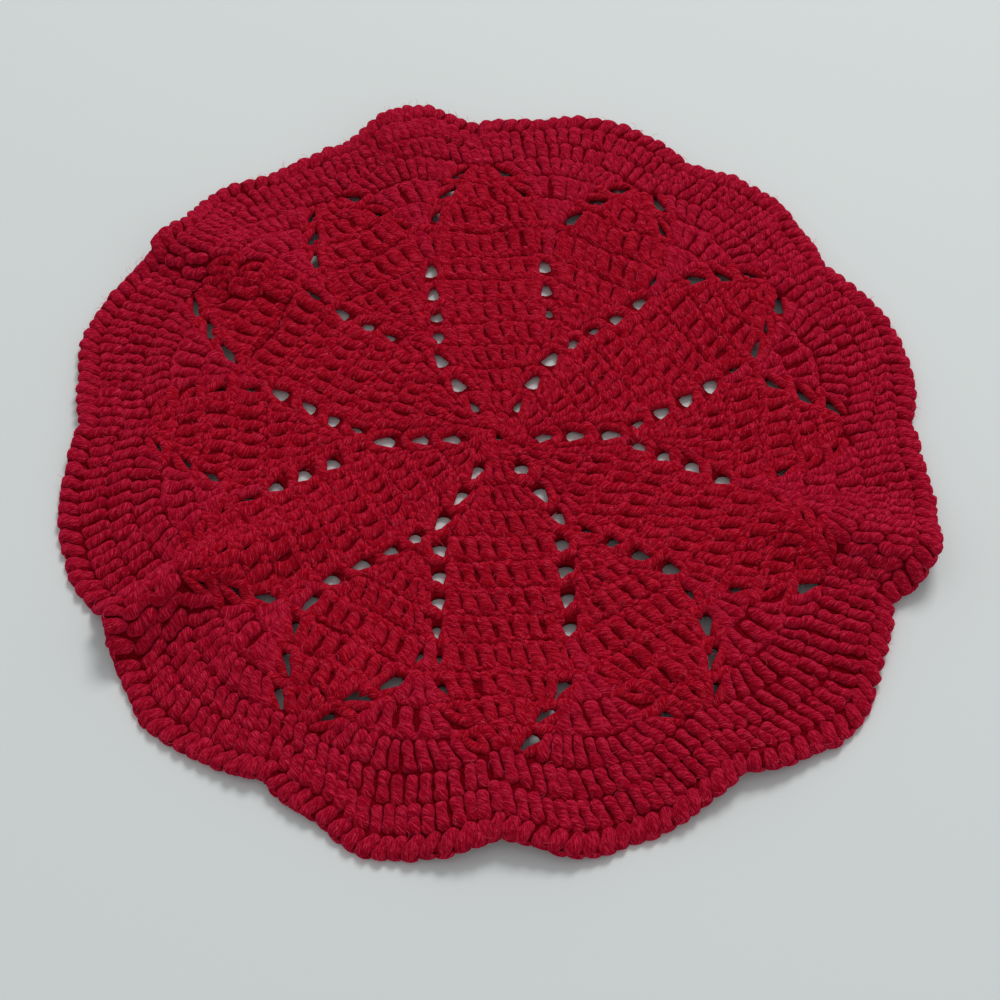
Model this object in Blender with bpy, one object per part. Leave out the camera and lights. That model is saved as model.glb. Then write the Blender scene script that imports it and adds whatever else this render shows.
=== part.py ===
"""A round crochet doily in thick cotton yarn, laid flat with its edge a little wavy.

The doily is one continuous piece worked outwards from a small ring.  Six large
petals start at the centre, six small ones grow between them, and a line of
eyelets runs along both sides of every petal.  Fans of stitches fill the spaces
between the petal tips, plain rounds close the edge in twelve scallops, and a
short last round binds it.

Metres, +Z up.  The origin is the middle of the starting ring on the underside,
+X is to the right and +Y points away from the viewer.
"""

import math
from collections import namedtuple

import bmesh
import bpy
from mathutils import Vector
from mathutils.geometry import delaunay_2d_cdt

MM = 0.001

# Rounds of stitches, measured along a petal from the middle of the doily.
ROW = 10.1 * MM             # height of one round of tall stitches
TALL_ROUNDS = 14            # rounds of tall stitches
EDGE_ROW = 7.6 * MM         # height of the short round that binds the edge
HEX_ROUNDS = 4              # rounds that lie as a hexagon, before the small petals
FLAT_ROUNDS = 8             # rounds that lie nearly straight across the petals
FULL_FAN_ROUND = 13         # round at which the fans stand out fully
MIDDLE_ROUND = 7.5          # where the large petals are widest
TIP_ROUND = 12              # last round of the petals
FAN_BULGE = 8.5 * MM        # how far a fan stands out beyond the petal tips
FAN_FULLNESS = 0.8          # below 1, the fans are fuller and the valleys sharper
EDGE_REACH = TALL_ROUNDS * ROW + EDGE_ROW

# The fabric.
THICKNESS = 4.2 * MM        # height of a round's crest above the underside
GROOVE = 1.1 * MM           # depth of the groove between two rounds
RIM_HEIGHT = 3.0 * MM       # height of the fabric around an eyelet and at the edge
RIM_ROUNDING = 0.9 * MM     # how far the edge is drawn in above and below its middle

# The eyelets.
EYELET_SIDES = 6
EYELET_LENGTH = 6.4 * MM
EYELET_WIDTH = 4.3 * MM
SLIM_EYELET_WIDTH = 3.7 * MM    # where one stitch alone parts two eyelets
EYELET_CLEARANCE = 1.3 * MM     # least distance from an eyelet to a point of relief

# How finely the surfaces are divided.
TOP_SPACING = 6.3 * MM
UNDERSIDE_ROWS = (3, 6, 8, 9.5, 11, 12.5, 13.7)
UNDERSIDE_SPACING = 13.0 * MM
SCALLOP_POINTS = 14         # points along the edge of one scallop
SAME_POINT = 1e-7           # metres, closer than this two points are one

# The spokes: one for each petal, anticlockwise from the one nearest the viewer.
# Turns are degrees off the even twelfth of a circle, at the middle of the petal,
# at its tip and at the valley in the edge beyond it.  The "out" columns are
# millimetres that the tip, the valley and the scallop after it lie outside their
# even place; a scallop has them at its rise, its middle and its fall.  The "lift"
# columns are millimetres that the edge stands off the surface, at the valley and
# at the middle of the scallop.
Spoke = namedtuple(
    "Spoke",
    "mid_turn tip_turn valley_turn tip_out valley_out rise_out scallop_out fall_out"
    " valley_lift scallop_lift",
)
SPOKES = (
    Spoke(1.5, 1.0, 0.5, -1.5, -0.5, 0.5, -2.0, -2.5, 5.0, 0.0),
    Spoke(2.0, 0.5, 1.0, 2.0, -0.5, 1.0, 1.5, -3.0, 4.0, 0.0),
    Spoke(2.0, 3.0, 3.0, -0.5, -3.0, -1.0, -5.5, -8.0, 2.0, 2.5),
    Spoke(1.5, 1.0, 2.0, -1.5, -4.0, -5.5, -5.5, -6.0, 1.5, 0.5),
    Spoke(3.0, 3.0, 2.0, -3.0, -6.5, -7.0, -4.5, -4.5, 2.0, 0.5),
    Spoke(3.0, 4.0, 0.0, 2.5, -2.5, -0.5, 0.0, -3.0, 2.0, 0.5),
    Spoke(2.5, 3.0, 3.0, 2.5, -1.0, 1.0, -3.0, -6.5, 2.0, 9.0),
    Spoke(2.5, 1.0, -1.5, 2.0, 0.0, -4.5, 0.0, -4.5, 2.0, 1.0),
    Spoke(1.0, -1.0, -2.0, 4.5, 3.0, 0.5, -1.0, -4.0, 2.0, 1.0),
    Spoke(1.0, -1.5, -2.5, -1.0, -3.0, -5.0, -4.5, -3.0, 2.0, 0.0),
    Spoke(0.5, -0.5, 0.5, -3.0, -2.0, -2.0, -0.5, -1.5, 0.0, 0.0),
    Spoke(0.5, -0.5, 0.5, 3.5, -1.0, -2.0, 1.5, 0.5, 2.0, 0.0),
)
CENTRE_TURN = 1.8           # degrees, of the rounds inside the small petals
FIRST_SPOKE = -90.0         # degrees, the petal nearest the viewer
LIFT_START = 112.0 * MM     # distance from the middle where the edge starts to lift

# Folds: a crest runs outwards between two points given by angle and distance from
# the middle.  It has half its height at the first point and all of it from halfway
# on, and falls to nothing on its clockwise side (near) and its other side (far)
# at FOLD_SPREAD times the width given for that side.
Fold = namedtuple("Fold", "start_angle start_mm end_angle end_mm height_mm near_mm far_mm")
FOLDS = (
    Fold(339.0, 104.0, 342.0, 158.0, 7.0, 9.0, 26.0),
    Fold(140.0, 100.0, 145.0, 160.0, 9.0, 22.0, 11.0),
    Fold(214.0, 84.0, 209.0, 152.0, 7.5, 20.0, 10.0),
)

FOLD_SPREAD = 1.6

# Where the eyelets lie beside a petal: half the petal's width there, how far out
# from the middle of the round, and how far the eyelet leans towards the tip.
EyeletRow = namedtuple("EyeletRow", "round half_mm out_mm lean_deg width")
BESIDE_LARGE_PETALS = (
    EyeletRow(5, 20.6, 0.0, 0.0, EYELET_WIDTH),
    EyeletRow(6, 20.8, 0.0, 0.0, EYELET_WIDTH),
    EyeletRow(7, 21.0, 0.0, 0.0, EYELET_WIDTH),
    EyeletRow(8, 21.3, 1.0, 0.0, EYELET_WIDTH),
)
BESIDE_EVERY_PETAL = (
    EyeletRow(9, 20.3, 2.1, 4.0, SLIM_EYELET_WIDTH),
    EyeletRow(10, 18.3, 2.8, 30.0, SLIM_EYELET_WIDTH),
    EyeletRow(11, 13.2, 2.3, 42.0, SLIM_EYELET_WIDTH),
    EyeletRow(12, 8.3, 2.4, 42.0, SLIM_EYELET_WIDTH),
)
CORNER_ROUNDS = (2, 3, 4)   # rounds with one eyelet at each corner of the hexagon
CORNER_IN = 1.4 * MM        # how far these lie inside the middle of their round


def smooth(share):
    """Ease from 0 to 1."""
    share = min(max(share, 0.0), 1.0)
    return share * share * (3.0 - 2.0 * share)


def mix(first, second, share):
    return first + (second - first) * share


def around(values, degrees):
    """Read evenly spaced values round the doily, smoothly between them."""
    place = (degrees - FIRST_SPOKE) % 360.0 / 360.0 * len(values)
    index = int(place) % len(values)
    following = values[(index + 1) % len(values)]
    return mix(values[index], following, smooth(place - int(place)))


def from_axis(degrees, count):
    """Angle off the nearest of count even spokes, in degrees."""
    step = 360.0 / count
    return (degrees - FIRST_SPOKE + step / 2.0) % step - step / 2.0


def row_distance(row):
    """Distance from the middle along a petal, after this many rounds."""
    if row <= TALL_ROUNDS:
        return row * ROW
    return TALL_ROUNDS * ROW + (row - TALL_ROUNDS) * EDGE_ROW


def round_radius(row, degrees):
    """Distance from the middle to the line of stitches at this row and angle."""
    along_hexagon = 1.0 / math.cos(math.radians(from_axis(degrees, 6)))
    along_dodecagon = 1.0 / math.cos(math.radians(from_axis(degrees, 12)))
    opened = min(max((row - HEX_ROUNDS) / (FLAT_ROUNDS - HEX_ROUNDS), 0.0), 1.0)
    straight = mix(along_hexagon, along_dodecagon, 1.0 - (1.0 - opened) ** 2)
    fan_growth = min(max((row - FLAT_ROUNDS) / (FULL_FAN_ROUND - FLAT_ROUNDS), 0.0), 1.0)
    fan = math.sin(math.radians(abs(from_axis(degrees, 12)) * 6.0)) ** FAN_FULLNESS
    bulge = FAN_BULGE * math.sin(math.pi / 2.0 * fan_growth) * fan
    return row_distance(row) * mix(straight, 1.0, fan_growth) + bulge


def lie(flat_point):
    """Where a point of the evenly laid doily comes to lie: x, y and the lift."""
    radius = math.hypot(*flat_point)
    degrees = math.degrees(math.atan2(flat_point[1], flat_point[0]))
    stations = (
        (HEX_ROUNDS * ROW, CENTRE_TURN),
        (MIDDLE_ROUND * ROW, around([spoke.mid_turn for spoke in SPOKES], degrees)),
        (TIP_ROUND * ROW, around([spoke.tip_turn for spoke in SPOKES], degrees)),
        (EDGE_REACH, around([spoke.valley_turn for spoke in SPOKES], degrees)),
    )
    turn = stations[0][1]
    for (inner, inner_turn), (outer, outer_turn) in zip(stations, stations[1:]):
        if radius > inner:
            turn = mix(inner_turn, outer_turn, min((radius - inner) / (outer - inner), 1.0))

    tip_out = around([spoke.tip_out for spoke in SPOKES], degrees) * MM
    edge_outs = [out for spoke in SPOKES for out in spoke[4:8]]
    edge_out = around(edge_outs, degrees) * MM
    to_tip = smooth((radius / ROW - MIDDLE_ROUND) / (TIP_ROUND - MIDDLE_ROUND))
    to_edge = smooth((radius - TIP_ROUND * ROW) / (EDGE_REACH - TIP_ROUND * ROW))
    radius_there = radius + mix(tip_out * to_tip, edge_out, to_edge)

    angle = math.radians(degrees + turn)
    x, y = radius_there * math.cos(angle), radius_there * math.sin(angle)
    lifts = [lift for spoke in SPOKES for lift in (spoke.valley_lift, spoke.scallop_lift)]
    lifted = smooth((radius - LIFT_START) / (EDGE_REACH - LIFT_START))
    edge_lift = around(lifts, degrees) * MM * lifted
    return x, y, edge_lift + fold_lift(x, y)


def fold_lift(x, y):
    """Height that the folds add at a point of the laid doily."""
    height = 0.0
    for fold in FOLDS:
        start = polar(fold.start_angle, fold.start_mm * MM)
        end = polar(fold.end_angle, fold.end_mm * MM)
        along = (end - start).normalized()
        offset = Vector((x, y)) - start
        beside = along.cross(offset)
        width = (fold.far_mm if beside > 0.0 else fold.near_mm) * MM
        share = smooth(0.5 + along.dot(offset) / (end - start).length)
        height += fold.height_mm * MM * share * smooth(1.0 - abs(beside) / (width * FOLD_SPREAD))
    return height


def polar(degrees, radius):
    angle = math.radians(degrees)
    return Vector((radius * math.cos(angle), radius * math.sin(angle)))


def eyelet_loop(centre, long_axis, width):
    """Corner points of one eyelet, whose length runs along the given direction."""
    across = Vector((-long_axis.y, long_axis.x))
    loop = []
    for corner in range(EYELET_SIDES):
        angle = 2.0 * math.pi * corner / EYELET_SIDES
        step = long_axis * (EYELET_LENGTH / 2.0 * math.cos(angle))
        loop.append(centre + step + across * (width / 2.0 * math.sin(angle)))
    return loop


def eyelets_beside(petal_degrees, rows):
    """Eyelets along both sides of the petal that points this way."""
    axis = polar(petal_degrees, 1.0)
    across = Vector((-axis.y, axis.x))
    for row in rows:
        reach = (row.round - 0.5) * ROW + row.out_mm * MM
        for side in (-1.0, 1.0):
            lean = math.radians(row.lean_deg)
            long_axis = axis * math.cos(lean) - across * (side * math.sin(lean))
            centre = axis * reach + across * (side * row.half_mm * MM)
            yield eyelet_loop(centre, long_axis, row.width)


def corner_eyelets():
    """Eyelets between the large petals, before the small ones start."""
    for row in CORNER_ROUNDS:
        reach = ((row - 0.5) * ROW - CORNER_IN) / math.cos(math.pi / 6.0)
        for corner in range(6):
            axis = polar(FIRST_SPOKE + 30.0 + 60.0 * corner, 1.0)
            yield eyelet_loop(axis * reach, axis, EYELET_WIDTH)


def all_eyelets():
    loops = list(corner_eyelets())
    for petal in range(12):
        degrees = FIRST_SPOKE + 30.0 * petal
        loops += eyelets_beside(degrees, BESIDE_EVERY_PETAL)
        if petal % 2 == 0:
            loops += eyelets_beside(degrees, BESIDE_LARGE_PETALS)
    return loops


def edge_loop(drawn_in):
    """The scalloped outline, drawn in towards the middle by this much."""
    count = 12 * SCALLOP_POINTS
    angles = [FIRST_SPOKE + 360.0 * step / count for step in range(count)]
    return [polar(angle, round_radius(TALL_ROUNDS + 1, angle) - drawn_in) for angle in angles]


def clear_of(point, eyelets):
    """True where a point of relief keeps off every eyelet."""
    for centre, loop in eyelets:
        if (point - centre).length < EYELET_LENGTH:
            nearest = min((point - corner).length for corner in loop)
            if nearest < EYELET_CLEARANCE or (point - centre).length < EYELET_WIDTH / 2.0:
                return False
    return True


def round_points(rows, spacing, eyelets):
    """Points along rounds, with the row that each of them lies on."""
    points = [(Vector((0.0, 0.0)), 0.0)]
    for row in rows:
        count = 12 * max(1, round(2.0 * math.pi * row_distance(row) / spacing / 12.0))
        for step in range(count):
            degrees = FIRST_SPOKE + 360.0 * (step + row % 1.0) / count
            point = polar(degrees, round_radius(row, degrees))
            if clear_of(point, eyelets):
                points.append((point, row))
    return points


def skin(outline, eyelet_loops, inner_points):
    """Triangles that fill the outline, leave the eyelets open and use the points.

    The outline's points come first, then the eyelets', then the inner ones.
    """
    points = list(outline)
    faces = [list(range(len(outline)))]
    for loop in eyelet_loops:
        faces.append(list(range(len(points), len(points) + len(loop))))
        points += loop
    points += inner_points
    laid, _, triangles, sources, _, inside = delaunay_2d_cdt(
        points, [], faces, 1, SAME_POINT, True
    )
    place = {source: index for index, merged in enumerate(sources) for source in merged}
    kept = [triangle for triangle, homes in zip(triangles, inside) if list(homes) == [0]]
    assert len(laid) == len(points), "two points of the doily fall together"
    back = {place[source]: source for source in range(len(points))}
    return points, [[back[corner] for corner in triangle] for triangle in kept]


def add_layer(mesh, flat_points, heights):
    """Vertices of one layer of the fabric, laid down with its lifts."""
    layer = []
    for point, height in zip(flat_points, heights):
        x, y, lift = lie(point)
        layer.append(mesh.verts.new((x, y, lift + height)))
    return layer


def add_wall(mesh, lower, upper):
    """A band of faces between two loops of vertices of the same length."""
    count = len(lower)
    for step in range(count):
        following = (step + 1) % count
        mesh.faces.new((lower[step], lower[following], upper[following], upper[step]))


def crest_height(row):
    """Height of the upper surface: a crest in each round, a groove between two."""
    return THICKNESS - GROOVE * (1.0 - math.sin(math.pi * (row % 1.0)))


def make_fabric():
    """The whole doily as one closed solid."""
    eyelets = all_eyelets()
    placed = [(sum(loop, Vector((0.0, 0.0))) / len(loop), loop) for loop in eyelets]
    top_rows = [half / 2.0 for half in range(1, 2 * TALL_ROUNDS + 2)]
    top_inner = round_points(top_rows, TOP_SPACING, placed)
    base_inner = round_points(UNDERSIDE_ROWS, UNDERSIDE_SPACING, placed)
    rim = edge_loop(RIM_ROUNDING)

    mesh = bmesh.new()
    top_points, top_triangles = skin(rim, eyelets, [point for point, _ in top_inner])
    rim_count = len(top_points) - len(top_inner)
    top_heights = [RIM_HEIGHT] * rim_count + [crest_height(row) for _, row in top_inner]
    top = add_layer(mesh, top_points, top_heights)
    base_points, base_triangles = skin(rim, eyelets, [point for point, _ in base_inner])
    base = add_layer(mesh, base_points, [0.0] * len(base_points))
    for corners in top_triangles:
        mesh.faces.new([top[corner] for corner in corners])
    for corners in base_triangles:
        mesh.faces.new([base[corner] for corner in reversed(corners)])

    edge = len(rim)
    middle = add_layer(mesh, edge_loop(0.0), [RIM_HEIGHT / 2.0] * edge)
    add_wall(mesh, base[:edge], middle)
    add_wall(mesh, middle, top[:edge])
    for start in range(edge, rim_count, EYELET_SIDES):
        add_wall(mesh, base[start:start + EYELET_SIDES], top[start:start + EYELET_SIDES])

    bmesh.ops.triangulate(mesh, faces=mesh.faces[:])
    bmesh.ops.recalc_face_normals(mesh, faces=mesh.faces[:])
    return mesh


def cotton_yarn():
    material = bpy.data.materials.new("cotton_yarn")
    material.use_nodes = True
    surface = material.node_tree.nodes["Principled BSDF"]
    surface.inputs["Base Color"].default_value = (0.43, 0.006, 0.035, 1.0)
    surface.inputs["Roughness"].default_value = 0.9
    surface.inputs["Metallic"].default_value = 0.0
    return material


def clear_scene():
    for item in list(bpy.data.objects):
        bpy.data.objects.remove(item, do_unlink=True)


def build():
    clear_scene()
    fabric = make_fabric()
    data = bpy.data.meshes.new("doily")
    fabric.to_mesh(data)
    fabric.free()
    data.materials.append(cotton_yarn())
    data.shade_smooth()
    doily = bpy.data.objects.new("doily", data)
    bpy.context.collection.objects.link(doily)


build()
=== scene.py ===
"""The look of a round crochet doily: each stitch of thick crimson cotton, laid in its place.

Metres, +Z up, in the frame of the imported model.  The doily is worked outwards from
a small ring, so the sections below follow it from the ground of the fabric and the
first round to the edge round, the loose fibres and the table that it lies on.
"""

import math
from collections import namedtuple

import bmesh
import bpy
import numpy as np
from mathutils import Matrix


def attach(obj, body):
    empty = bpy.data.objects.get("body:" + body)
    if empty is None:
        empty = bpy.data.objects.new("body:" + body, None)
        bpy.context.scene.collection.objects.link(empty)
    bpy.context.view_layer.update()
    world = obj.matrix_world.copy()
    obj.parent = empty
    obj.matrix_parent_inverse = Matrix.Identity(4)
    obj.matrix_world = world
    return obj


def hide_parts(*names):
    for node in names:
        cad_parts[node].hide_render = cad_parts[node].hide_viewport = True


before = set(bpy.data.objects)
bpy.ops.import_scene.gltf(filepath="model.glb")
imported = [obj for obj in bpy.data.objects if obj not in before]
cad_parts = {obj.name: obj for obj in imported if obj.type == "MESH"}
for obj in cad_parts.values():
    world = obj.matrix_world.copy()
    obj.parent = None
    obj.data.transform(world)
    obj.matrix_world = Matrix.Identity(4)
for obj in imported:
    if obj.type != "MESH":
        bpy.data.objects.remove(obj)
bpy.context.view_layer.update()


# ---------------------------------------------------------------------------
# The ground of the fabric: the feet and backs of the stitches close it in a
# thin layer of the same cotton, painted darker than the yarn as the shade that
# falls between their plump fronts.
# It has the doily's outline, its eyelets and the folds in which it lies.

MM = 0.001
ROW = 10.1 * MM             # height of one round of tall stitches
TALL_ROUNDS = 14
EDGE_ROUND = TALL_ROUNDS + 1
EDGE_ROW = 7.6 * MM         # height of the short round that binds the edge
EDGE_REACH = TALL_ROUNDS * ROW + EDGE_ROW
HEX_ROUNDS = 4              # rounds that lie as a hexagon
FLAT_ROUNDS = 8             # rounds that lie nearly straight across the petals
FULL_FAN_ROUND = 13         # round at which the fans stand out fully
MIDDLE_ROUND = 7.5          # about half way along the large petals
TIP_ROUND = 12              # last round of the petals
PETAL_COUNT = 12
PETAL_STEP = 360.0 / PETAL_COUNT
HALF_STEP = PETAL_STEP / 2.0
FAN_BULGE = 8.5 * MM        # how far the middle of a scallop stands out
FAN_FULLNESS = 0.8          # below 1.0 the scallops are blunter than a sine wave
FAN_QUARTER = 90.0 / HALF_STEP      # a quarter of it goes from a petal's line to a fan's
FIRST_SPOKE = -90.0         # degrees, the petal nearest the viewer
CENTRE_TURN = 1.8           # degrees that the middle lies turned
LIFT_START = 112.0 * MM     # from here outwards the edge may stand off the table

# How each twelfth of the doily lies, anticlockwise from the petal nearest the
# viewer: turns in degrees, the rest in millimetres off its even place.
Spoke = namedtuple(
    "Spoke",
    "mid_turn tip_turn valley_turn tip_out valley_out rise_out scallop_out fall_out"
    " valley_lift scallop_lift",
)
SPOKES = (
    Spoke(1.5, 1.0, 0.5, -1.5, -0.5, 0.5, -2.0, -2.5, 5.0, 0.0),
    Spoke(2.0, 0.5, 1.0, 2.0, -0.5, 1.0, 1.5, -3.0, 4.0, 0.0),
    Spoke(2.0, 3.0, 3.0, -0.5, -3.0, -1.0, -5.5, -8.0, 2.0, 2.5),
    Spoke(1.5, 1.0, 2.0, -1.5, -4.0, -5.5, -5.5, -6.0, 1.5, 0.5),
    Spoke(3.0, 3.0, 2.0, -3.0, -6.5, -7.0, -4.5, -4.5, 2.0, 0.5),
    Spoke(3.0, 4.0, 0.0, 2.5, -2.5, -0.5, 0.0, -3.0, 2.0, 0.5),
    Spoke(2.5, 3.0, 3.0, 2.5, -1.0, 1.0, -3.0, -6.5, 2.0, 9.0),
    Spoke(2.5, 1.0, -1.5, 2.0, 0.0, -4.5, 0.0, -4.5, 2.0, 1.0),
    Spoke(1.0, -1.0, -2.0, 4.5, 3.0, 0.5, -1.0, -4.0, 2.0, 1.0),
    Spoke(1.0, -1.5, -2.5, -1.0, -3.0, -5.0, -4.5, -3.0, 2.0, 0.0),
    Spoke(0.5, -0.5, 0.5, -3.0, -2.0, -2.0, -0.5, -1.5, 0.0, 0.0),
    Spoke(0.5, -0.5, 0.5, 3.5, -1.0, -2.0, 1.5, 0.5, 2.0, 0.0),
)

# Folds: the crest runs outwards between two points given by angle and distance.  It
# has half its height at the first and falls off by these widths at its two sides.
Fold = namedtuple(
    "Fold",
    "start_angle start_mm end_angle end_mm height_mm clockwise_mm anticlockwise_mm",
)
FOLDS = (
    Fold(338.5, 104.0, 340.5, 158.0, 8.0, 9.0, 15.0),
    Fold(140.0, 100.0, 145.0, 160.0, 8.0, 18.0, 11.0),
    Fold(209.5, 84.0, 211.5, 152.0, 12.0, 8.0, 10.0),
)
FOLD_SPREAD = 1.6           # how much wider they lie than those widths

# Low swells that lift the fabric off the table, each as wide as it is long, and the
# ring round the petal tips, which stands a little off the table all the way round.
Swell = namedtuple("Swell", "angle mm reach_mm height_mm")
SWELLS = (
    Swell(310.0, 68.0, 42.0, 3.2),
    Swell(303.0, 113.0, 17.0, 2.6),
    Swell(243.0, 112.0, 19.0, 3.0),
    Swell(272.0, 116.0, 16.0, 1.2),
    Swell(215.0, 70.0, 26.0, 1.2),
)
TIP_RING_MM = 110.0
TIP_RING_REACH_MM = 34.0
TIP_RING_LIFT = 3.4 * MM


def eased(share):
    """A share of the way, from 0 to 1, that starts and ends gently."""
    share = np.clip(share, 0.0, 1.0)
    return share * share * (3.0 - 2.0 * share)


def mix(first, second, share):
    """The value at a share of the way from the first to the second."""
    return first + (second - first) * share


def polar(degrees, radius):
    """x and y of a point given by its angle and its distance from the middle."""
    return radius * np.cos(np.radians(degrees)), radius * np.sin(np.radians(degrees))


def around(values, degrees):
    """Read evenly spaced values round the doily, smoothly between them."""
    values = np.asarray(values)
    place = (degrees - FIRST_SPOKE) % 360.0 / 360.0 * len(values)
    index = np.floor(place).astype(int) % len(values)
    following = values[(index + 1) % len(values)]
    return mix(values[index], following, eased(place - np.floor(place)))


def column(*names):
    """One value after another of the table of spokes, for the columns named."""
    return [getattr(spoke, name) for spoke in SPOKES for name in names]


def from_axis(degrees, count):
    """Angle off the nearest of count even spokes, in degrees."""
    step = 360.0 / count
    return (degrees - FIRST_SPOKE + step / 2.0) % step - step / 2.0


def row_distance(row):
    """Distance from the middle along a petal, after this many rounds."""
    return np.minimum(row, TALL_ROUNDS) * ROW + np.maximum(row - TALL_ROUNDS, 0.0) * EDGE_ROW


def round_radius(row, degrees):
    """Distance from the middle to the line of stitches at this row and angle."""
    from_petal_line = from_axis(degrees, PETAL_COUNT)
    along_hexagon = 1.0 / np.cos(np.radians(from_axis(degrees, PETAL_COUNT // 2)))
    along_dodecagon = 1.0 / np.cos(np.radians(from_petal_line))
    opened = np.clip((row - HEX_ROUNDS) / (FLAT_ROUNDS - HEX_ROUNDS), 0.0, 1.0)
    straight = mix(along_hexagon, along_dodecagon, 1.0 - (1.0 - opened) ** 2)
    fan_growth = np.clip((row - FLAT_ROUNDS) / (FULL_FAN_ROUND - FLAT_ROUNDS), 0.0, 1.0)
    fan = np.sin(np.radians(np.abs(from_petal_line) * FAN_QUARTER)) ** FAN_FULLNESS
    bulge = FAN_BULGE * np.sin(np.pi / 2.0 * fan_growth) * fan
    return row_distance(row) * mix(straight, 1.0, fan_growth) + bulge


def fold_lift(x, y):
    """How high the folds lift the fabric at each place."""
    height = np.zeros_like(x)
    for fold in FOLDS:
        start_x, start_y = polar(fold.start_angle, fold.start_mm * MM)
        end_x, end_y = polar(fold.end_angle, fold.end_mm * MM)
        length = math.hypot(end_x - start_x, end_y - start_y)
        along_x, along_y = (end_x - start_x) / length, (end_y - start_y) / length
        forward = along_x * (x - start_x) + along_y * (y - start_y)
        beside = along_x * (y - start_y) - along_y * (x - start_x)
        side_mm = np.where(beside > 0.0, fold.anticlockwise_mm, fold.clockwise_mm)
        width = side_mm * MM * FOLD_SPREAD
        share = eased(0.5 + forward / length)
        height = height + fold.height_mm * MM * share * eased(1.0 - np.abs(beside) / width)
    return height


def swell_lift(x, y):
    """How high the swells and the ring round the petal tips lift it."""
    from_ring = np.abs(np.hypot(x, y) / MM - TIP_RING_MM) / TIP_RING_REACH_MM
    height = TIP_RING_LIFT * eased(1.0 - from_ring)
    for swell in SWELLS:
        middle_x, middle_y = polar(swell.angle, swell.mm * MM)
        away = np.hypot(x - middle_x, y - middle_y) / (swell.reach_mm * MM)
        height = height + swell.height_mm * MM * eased(1.0 - away)
    return height


UNEVEN = 0.20 * MM          # how far hand work strays from an even round
UNEVEN_UP = UNEVEN * 0.5
UnevenWave = namedtuple("UnevenWave", "per_metre_x per_metre_y start")
UNEVEN_WAVES = (
    UnevenWave(31.0, 17.0, 0.4),
    UnevenWave(-23.0, 29.0, 2.1),
    UnevenWave(43.0, -9.0, 3.3),
)


def laid(flat_x, flat_y, height):
    """Where points of the evenly laid doily come to lie, as an array of x, y and z."""
    for per_metre_x, per_metre_y, start in UNEVEN_WAVES:
        wave = 2.0 * np.pi * (per_metre_x * flat_x + per_metre_y * flat_y) + start
        flat_x = flat_x + UNEVEN * np.sin(wave)
        flat_y = flat_y + UNEVEN * np.cos(wave + start)
        height = height + UNEVEN_UP * np.sin(wave + 2.0 * start)
    radius = np.hypot(flat_x, flat_y)
    degrees = np.degrees(np.arctan2(flat_y, flat_x))
    stations = (
        (HEX_ROUNDS * ROW, CENTRE_TURN),
        (MIDDLE_ROUND * ROW, around(column("mid_turn"), degrees)),
        (TIP_ROUND * ROW, around(column("tip_turn"), degrees)),
        (EDGE_REACH, around(column("valley_turn"), degrees)),
    )
    turn = CENTRE_TURN
    for (inner, inner_turn), (outer, outer_turn) in zip(stations, stations[1:]):
        share = np.minimum((radius - inner) / (outer - inner), 1.0)
        turn = np.where(radius > inner, mix(inner_turn, outer_turn, share), turn)

    tip_out = around(column("tip_out"), degrees) * MM
    edge_out = around(column("valley_out", "rise_out", "scallop_out", "fall_out"), degrees) * MM
    to_tip = eased((radius / ROW - MIDDLE_ROUND) / (TIP_ROUND - MIDDLE_ROUND))
    to_edge = eased((radius - TIP_ROUND * ROW) / (EDGE_REACH - TIP_ROUND * ROW))
    there = radius + mix(tip_out * to_tip, edge_out, to_edge)
    x, y = polar(degrees + turn, there)
    lifted = eased((radius - LIFT_START) / (EDGE_REACH - LIFT_START))
    edge_lift = around(column("valley_lift", "scallop_lift"), degrees) * MM * lifted
    return np.stack((x, y, height + edge_lift + fold_lift(x, y) + swell_lift(x, y)), axis=-1)


# The eyelets: millimetres across from the petal's middle line and outwards from the
# middle of the round, and how many degrees they lean towards the petal's tip.
EyeletRow = namedtuple("EyeletRow", "round across out lean width")
BESIDE_LARGE_PETALS = (
    EyeletRow(5, 20.6, 0.0, 0.0, 4.3),
    EyeletRow(6, 20.8, 0.0, 0.0, 4.3),
    EyeletRow(7, 21.0, 0.0, 0.0, 4.3),
    EyeletRow(8, 21.3, 1.0, 0.0, 4.3),
)
BESIDE_EVERY_PETAL = (
    EyeletRow(9, 20.3, 2.1, 4.0, 3.7),
    EyeletRow(10, 18.3, 2.8, 30.0, 3.7),
    EyeletRow(11, 13.2, 2.3, 42.0, 3.7),
    EyeletRow(12, 8.3, 2.4, 42.0, 3.7),
)
CORNER_ROUNDS = (2, 3, 4)   # the eyelets at the corners of the hexagon
CORNER_IN = 1.4 * MM        # how far they lie inwards of the middle of the round
CORNER_WIDTH = 4.3 * MM
EYELET_LENGTH = 6.4 * MM
EYELET_CORNERS = 14
SHUT_LENGTH = 0.7           # shares of its length and width that a shut eyelet keeps
SHUT_WIDTH = 0.2
EYELET_TAPER = 0.35         # how much narrower its outer end is
PETALS = [FIRST_SPOKE + PETAL_STEP * petal for petal in range(PETAL_COUNT)]
LARGE_PETALS = PETALS[0::2]
SMALL_PETALS = PETALS[1::2]
SIDES = (-1.0, 1.0)         # clockwise and anticlockwise of a petal's middle line

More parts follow.
